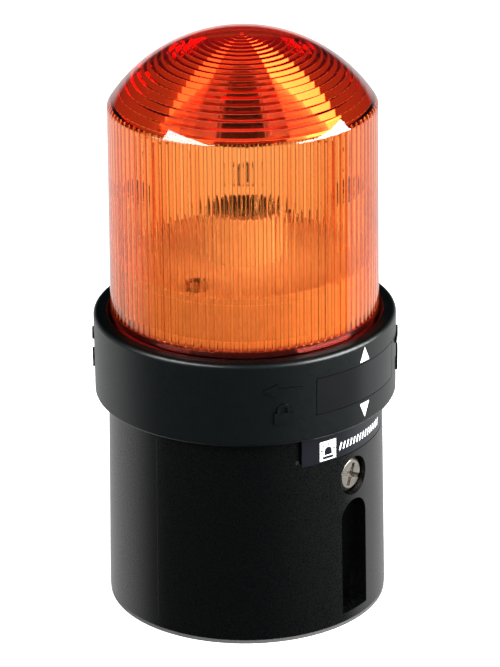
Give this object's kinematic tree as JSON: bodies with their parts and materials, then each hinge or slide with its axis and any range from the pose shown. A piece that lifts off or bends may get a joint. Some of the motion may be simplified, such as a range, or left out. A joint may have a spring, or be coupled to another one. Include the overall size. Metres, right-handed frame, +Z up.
{
  "type": "signal beacon",
  "caption": "Cylindrical signal beacon with a ribbed orange dome lens, turn-to-lock collar and black base with two fixing channels.",
  "frame": {"origin": "centre of the gasket's underside, on the beacon's axis", "axes": "+Z up along the beacon's axis, -Y the front with the name plate"},
  "size_m": [0.075, 0.075, 0.147],
  "materials": {
    "foot_rubber": "matt grey foamed rubber",
    "black_plastic": "fine spark-eroded black",
    "collar_plastic": "fine spark-eroded black",
    "black_rubber": "matt black",
    "plate_film": "satin dark blue-grey",
    "legend_film": "satin black",
    "white_ink": "matt white",
    "zinc_steel": "zinc plated",
    "spring_steel": "drawn wire",
    "tungsten": "drawn wire",
    "solder": "dull tin",
    "nickel": "nickel plated",
    "brass": "stamped",
    "carrier_plastic": "moulded off-white",
    "white_plastic": "moulded white",
    "lampholder_plastic": "moulded pale grey",
    "terminal_plastic": "moulded cream",
    "brown_phenolic": "pressed phenolic",
    "black_glass": "vitrified",
    "clear_glass": "clear",
    "orange_lens": "transparent polycarbonate, polished"
  },
  "bodies": {
    "base": {"base_gasket": "foot_rubber", "base_housing": "black_plastic", "cable_grommet": "black_rubber", "name_plate": "plate_film", "side_screws": "zinc_steel", "screw_inserts": "brass", "chassis": "carrier_plastic", "terminal_block": "terminal_plastic", "terminal_clamps": "brass", "terminal_screws": "zinc_steel", "contact_strips": "brass", "lampholder": "lampholder_plastic", "lamp_plate": "white_plastic", "plate_screws": "zinc_steel", "contact_spring": "spring_steel"},
    "seal": {"collar_seal": "black_rubber"},
    "lens_unit": {"lens": "orange_lens", "collar": "collar_plastic", "legend_plate": "legend_film", "index_triangles": "white_ink"},
    "contacts": {"contact_carrier": "brown_phenolic", "contact_studs": "brass"},
    "lamp": {"bulb_cap": "nickel", "bulb_insulator": "black_glass", "bulb_contacts": "solder", "bulb_glass": "clear_glass", "bulb_stem": "clear_glass", "bulb_filament": "tungsten"}
  },
  "joints": [
    {"name": "lens_turn", "type": "hinge", "parent": "base", "child": "seal", "pos_m": [0, 0, 0.0756], "axis": [0, 0, 1], "range_deg": [-25, 0]},
    {"name": "lens_lift", "type": "slide", "parent": "seal", "child": "lens_unit", "axis": [0, 0, 1], "range_m": [0, 0.08]},
    {"name": "lamp_press", "type": "slide", "parent": "base", "child": "contacts", "axis": [0, 0, -1], "range_m": [0, 0.002], "stiffness_N_per_m": 1500, "springref_m": -0.003, "deforming": ["contact_spring"]},
    {"name": "lamp_turn", "type": "hinge", "parent": "contacts", "child": "lamp", "pos_m": [0, 0, 0.095], "axis": [0, 0, 1], "range_deg": [0, 22]}
  ]
}
